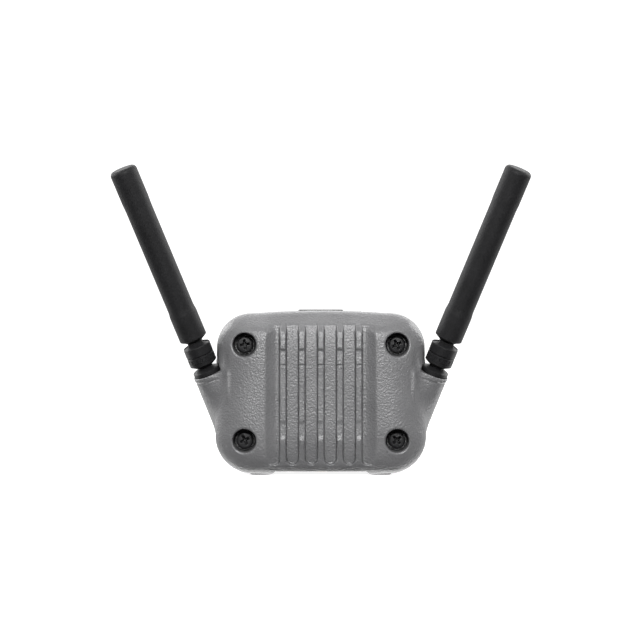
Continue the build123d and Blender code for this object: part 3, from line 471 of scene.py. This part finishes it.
def metal(name, lo, hi, rough_lo, rough_hi, brushed=(1.0, 1.0, 1.0), scale=1500.0):
    m = Mat(name, lo, rough=0.35, metallic=1.0)
    brush = m.noise(scale, 4.0, 0.6, stretch=brushed)
    blot = m.noise(90.0, 3.0, 0.5)
    m.base(m.color_between(m.ramp(m.math("ADD", m.math("MULTIPLY", brush, 0.4), m.math("MULTIPLY", blot, 0.6)), 0.35, 0.65, 0.0, 1.0), lo, hi))
    m.rough(m.ramp(brush, 0.3, 0.7, rough_lo, rough_hi))
    m.bump(brush, 0.00002, 0.5)
    return m.m


def board():
    m = Mat("circuit_board", (0.01, 0.09, 0.03), rough=0.4, spec=0.5)
    weave = m.noise(700.0, 2.0, 0.5)
    br = m.node("ShaderNodeTexBrick")
    br.inputs["Scale"].default_value = 330.0
    br.inputs["Mortar Size"].default_value = 0.012
    br.inputs["Color1"].default_value = (0.008, 0.075, 0.026, 1)
    br.inputs["Color2"].default_value = (0.010, 0.090, 0.032, 1)
    br.inputs["Mortar"].default_value = (0.03, 0.16, 0.06, 1)
    sw = m.node("ShaderNodeMapping")
    sw.inputs["Rotation"].default_value = (math.radians(90), 0.0, 0.0)
    m.link(m.co.outputs["Object"], sw.inputs["Vector"])
    m.link(sw.outputs["Vector"], br.inputs["Vector"])
    m.base(br.outputs["Color"])
    m.rough(m.ramp(weave, 0.3, 0.7, 0.32, 0.5))
    m.bump(m.math("ADD", weave, br.outputs["Fac"]), 0.00003, 0.5)
    return m.m


def plain_detail(name, lo, hi, rough_lo, rough_hi, spec=0.5, scale=900.0, height=0.00003, transmission=0.0):
    m = Mat(name, lo, rough=0.4, spec=spec)
    g = m.noise(scale, 3.0, 0.6)
    big = m.noise(scale * 0.1, 3.0, 0.5)
    m.base(m.color_between(m.ramp(m.math("ADD", m.math("MULTIPLY", g, 0.5), m.math("MULTIPLY", big, 0.5)), 0.35, 0.65, 0.0, 1.0), lo, hi))
    m.rough(m.ramp(g, 0.3, 0.7, rough_lo, rough_hi))
    m.bump(g, height, 0.7)
    if transmission:
        m.b.inputs["Transmission Weight"].default_value = transmission
    return m.m


GREY = grey_housing()
SLEEVE = black_rubber("antenna_rubber", (0.0085, 0.0085, 0.009), (0.016, 0.016, 0.017), 0.52, 0.68, 0.17, 1500.0, 0.00007)
PLASTIC = black_rubber("antenna_plastic", (0.0075, 0.0075, 0.008), (0.014, 0.014, 0.015), 0.40, 0.56, 0.24, 1900.0, 0.00004)
SEAL = black_rubber("seal_rubber", (0.010, 0.010, 0.0105), (0.018, 0.018, 0.019), 0.60, 0.75, 0.25, 1200.0, 0.00005)
BUTTON = black_rubber("button_rubber", (0.011, 0.011, 0.0115), (0.020, 0.020, 0.021), 0.52, 0.68, 0.30, 1600.0, 0.00005)
JACKET = black_rubber("lead_jacket", (0.010, 0.010, 0.010), (0.018, 0.018, 0.018), 0.42, 0.56, 0.35, 900.0, 0.00004)
SCREW = plain_detail("black_screw", (0.008, 0.008, 0.0085), (0.020, 0.020, 0.021), 0.34, 0.5, 0.22, 1400.0, 0.00003)
CHIP = plain_detail("component_black", (0.012, 0.012, 0.013), (0.022, 0.022, 0.024), 0.45, 0.62, 0.4, 1300.0, 0.00002)
CAN = metal("capacitor_can", (0.55, 0.56, 0.58), (0.68, 0.69, 0.70), 0.22, 0.36, (1, 0.2, 1))
ZINC = metal("zinc_steel", (0.50, 0.51, 0.52), (0.66, 0.67, 0.68), 0.28, 0.44, (1, 0.25, 1))
BRASS = metal("brass", (0.60, 0.42, 0.17), (0.74, 0.55, 0.26), 0.24, 0.40, (1, 0.25, 1))
NICKEL = metal("nickel_plate", (0.58, 0.56, 0.52), (0.72, 0.70, 0.66), 0.16, 0.28, (1, 0.3, 1))
PCB = board()
LENS = plain_detail("clear_lens", (0.72, 0.76, 0.78), (0.82, 0.85, 0.86), 0.12, 0.22, 0.5, 500.0, 0.00001, transmission=0.75)
LED = plain_detail("led_white", (0.72, 0.72, 0.66), (0.82, 0.82, 0.76), 0.35, 0.5, 0.5, 900.0, 0.00002)

BY_SLOT = {
    "housing_grey": GREY, "seal_rubber": SEAL, "black_screw": SCREW, "zinc_steel": ZINC, "brass": BRASS,
    "nickel_plate": NICKEL, "circuit_board": PCB, "antenna_rubber": SLEEVE, "antenna_plastic": PLASTIC,
    "lead_jacket": JACKET, "button_rubber": BUTTON, "clear_lens": LENS, "capacitor_can": CAN,
    "component_black": CHIP, "led_white": LED,
}


def slot_of(name):
    for key, want in (
            ("_shell", "housing_grey"), ("shell_gasket", "seal_rubber"), ("rubber_feet", "seal_rubber"),
            ("antenna_seal", "seal_rubber"), ("cover_screws", "black_screw"), ("inserts", "brass"), ("tripod_insert", "brass"),
            ("circuit_board", "circuit_board"), ("board_spacers", "brass"), ("board_screws", "zinc_steel"),
            ("board_stack_connector", "component_black"), ("radio_shield", "nickel_plate"), ("signal_processor", "component_black"),
            ("power_converter", "component_black"), ("filter_capacitors", "capacitor_can"), ("audio_output_jack", "nickel_plate"),
            ("power_inlet_socket", "nickel_plate"), ("power_button", "button_rubber"), ("pairing_button", "button_rubber"),
            ("power_switch", "component_black"), ("pairing_switch", "component_black"), ("status_light_pipe", "clear_lens"),
            ("status_led", "led_white"), ("antenna_base", "antenna_plastic"), ("antenna_jack", "brass"), ("jack_nut", "nickel_plate"),
            ("coupling_ring", "antenna_plastic"), ("swivel_knuckle", "antenna_plastic"), ("swivel_clip", "zinc_steel"),
            ("tilt_pin", "black_screw"), ("antenna_mast", "antenna_rubber"), ("antenna_radiator", "brass"),
            ("antenna_lead", "lead_jacket"), ("lead_plug", "brass")):
        if key in name:
            return want
    return "component_black"


for name, ob in nodes.items():
    ob.data.materials.clear()
    ob.data.materials.append(BY_SLOT[slot_of(name)])

# ----------------------------------------------------------------------------
# the front shell
# ----------------------------------------------------------------------------
front = build_front_shell()
front.data.materials.append(GREY)
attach(front, "housing")
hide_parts("front_shell")

# ----------------------------------------------------------------------------
# cover screws: domed heads with tapered cross recesses
# ----------------------------------------------------------------------------
TURNS = [25.0, 8.0, 40.0, 28.0]


def screw(x, y, z, turn):
    r = np.sqrt(x * x + z * z)
    dome = -20.10 + 0.045 * r * r * 0.55
    f = smax(r - 3.5, dome - y, 0.9)
    f = np.maximum(f, y + 17.5)
    c, s = math.cos(math.radians(turn)), math.sin(math.radians(turn))
    u, v = x * c + z * s, -x * s + z * c
    dep = y + 20.1
    arm = lambda a, b: np.maximum(np.abs(a) - (2.15 - 0.55 * dep), np.abs(b) - (0.50 - 0.10 * dep))
    cross = np.minimum(arm(u, v), arm(v, u))
    cross = np.minimum(cross, r - (0.95 - 0.40 * dep))
    cross = np.maximum(cross, dep - 2.0)
    f = smax(f, -cross, 0.18)
    return np.minimum(f, np.maximum(r - 1.7, np.maximum(y, -18.0 - y)))


def build_screws():
    step = 0.15
    xs = axis_steps([(-3.75, 3.75, step)])
    ys = axis_steps([(-20.4, -17.1, step), (-17.1, 0.3, 0.6)])
    X, Y, Z = np.meshgrid(xs, ys, xs, indexing="ij")
    allv, allq, n = [], [], 0
    for (sx, sz), turn in zip(SCREWS, TURNS):
        fun = lambda x, y, z: screw(x, y, z, turn)
        V, Q = surface_nets(fun(X, Y, Z), xs, ys, xs)
        V = project(fun, V, 3)
        V = V + np.array([sx, 0.0, sz])
        V[:, 1] = np.clip(V[:, 1], -20.1, 0.0)
        allv.append(V); allq.append(Q + n); n += len(V)
    return mesh_object("cover_screw_set", np.concatenate(allv), np.concatenate(allq))


screws = build_screws()
screws.data.materials.append(SCREW)
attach(screws, "housing")
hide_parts("cover_screws")

# ----------------------------------------------------------------------------
# floor, light, camera
# ----------------------------------------------------------------------------
FLOOR_Z = -0.73 * MM
bpy.ops.mesh.primitive_plane_add(size=30.0, location=(0.0, 0.0, FLOOR_Z))
floor = bpy.context.object
floor.name = "studio_floor"
fm = Mat("studio_floor", (0.55, 0.55, 0.55), rough=0.9, spec=0.1)
fm.base(fm.color_between(fm.noise(3.0, 2.0, 0.5), (0.54, 0.54, 0.54), (0.56, 0.56, 0.56)))
fm.b.inputs["Emission Color"].default_value = (1.0, 1.0, 1.0, 1.0)
fm.b.inputs["Emission Strength"].default_value = 0.86
floor.data.materials.append(fm.m)
floor.visible_diffuse = False
floor.visible_glossy = False

world = bpy.data.worlds.new("studio")
scene.world = world
world.use_nodes = True
wt = world.node_tree
bg = wt.nodes["Background"]
bg.inputs["Strength"].default_value = 1.0
wco = wt.nodes.new("ShaderNodeTexCoord")
wsep = wt.nodes.new("ShaderNodeSeparateXYZ")
wt.links.new(wco.outputs["Generated"], wsep.inputs["Vector"])


def sky(socket, lo, hi, a, b):
    n = wt.nodes.new("ShaderNodeMapRange")
    n.interpolation_type = "SMOOTHSTEP"
    n.inputs["From Min"].default_value = lo
    n.inputs["From Max"].default_value = hi
    n.inputs["To Min"].default_value = a
    n.inputs["To Max"].default_value = b
    wt.links.new(socket, n.inputs["Value"])
    return n.outputs["Result"]


# a light tent: white behind and at the sides, brighter overhead, dimmer on the open side
wadd = wt.nodes.new("ShaderNodeMath")
wadd.operation = "ADD"
wdim = wt.nodes.new("ShaderNodeMath")
wdim.operation = "MULTIPLY"
wt.links.new(sky(wsep.outputs["Y"], -0.20, 0.50, 0.20, 1.36), wdim.inputs[0])
wt.links.new(sky(wsep.outputs["Z"], -0.75, 0.15, 0.15, 1.0), wdim.inputs[1])
wt.links.new(wdim.outputs[0], wadd.inputs[0])
wt.links.new(sky(wsep.outputs["Z"], 0.15, 0.9, 0.0, 0.05), wadd.inputs[1])
wlow = wt.nodes.new("ShaderNodeMath")
wlow.operation = "MULTIPLY_ADD"
wt.links.new(sky(wsep.outputs["Z"], -0.9, -0.1, 6.0, 0.0), wlow.inputs[0])
wt.links.new(sky(wsep.outputs["Y"], -0.05, 0.4, 0.0, 1.0), wlow.inputs[1])
wt.links.new(wadd.outputs[0], wlow.inputs[2])
wt.links.new(wlow.outputs[0], bg.inputs["Color"])


def area(name, loc, target, size, power, size_y=None):
    d = bpy.data.lights.new(name, "AREA")
    d.energy = power
    d.size = size
    if size_y:
        d.shape = "RECTANGLE"
        d.size_y = size_y
    o = bpy.data.objects.new(name, d)
    o.location = loc
    o.rotation_euler = (Vector(target) - Vector(loc)).to_track_quat("-Z", "Y").to_euler()
    scene.collection.objects.link(o)
    return o


area("key", (0.0, -1.28, 0.65), (0, 0, 0.035), 0.44, 28.3, 0.74)
area("top_back", (0.0, 0.75, 0.85), (0, 0, 0.035), 1.1, 6.5, 0.9)
area("side_left", (-0.82, 0.34, 0.52), (0, 0, 0.035), 0.6, 9.0, 0.6)
area("side_right", (0.82, 0.34, 0.52), (0, 0, 0.035), 0.6, 8.5, 0.6)

cam = bpy.data.cameras.new("camera")
cam.sensor_width = 36.0
cam.lens = 101.25
cam.clip_start = 0.01
cam.clip_end = 100.0
cam_ob = bpy.data.objects.new("camera", cam)
cam_ob.location = (-0.34 * MM, -765.5 * MM, 63.55 * MM)
cam_ob.rotation_euler = (math.radians(90), 0.0, 0.0)
scene.collection.objects.link(cam_ob)
scene.camera = cam_ob
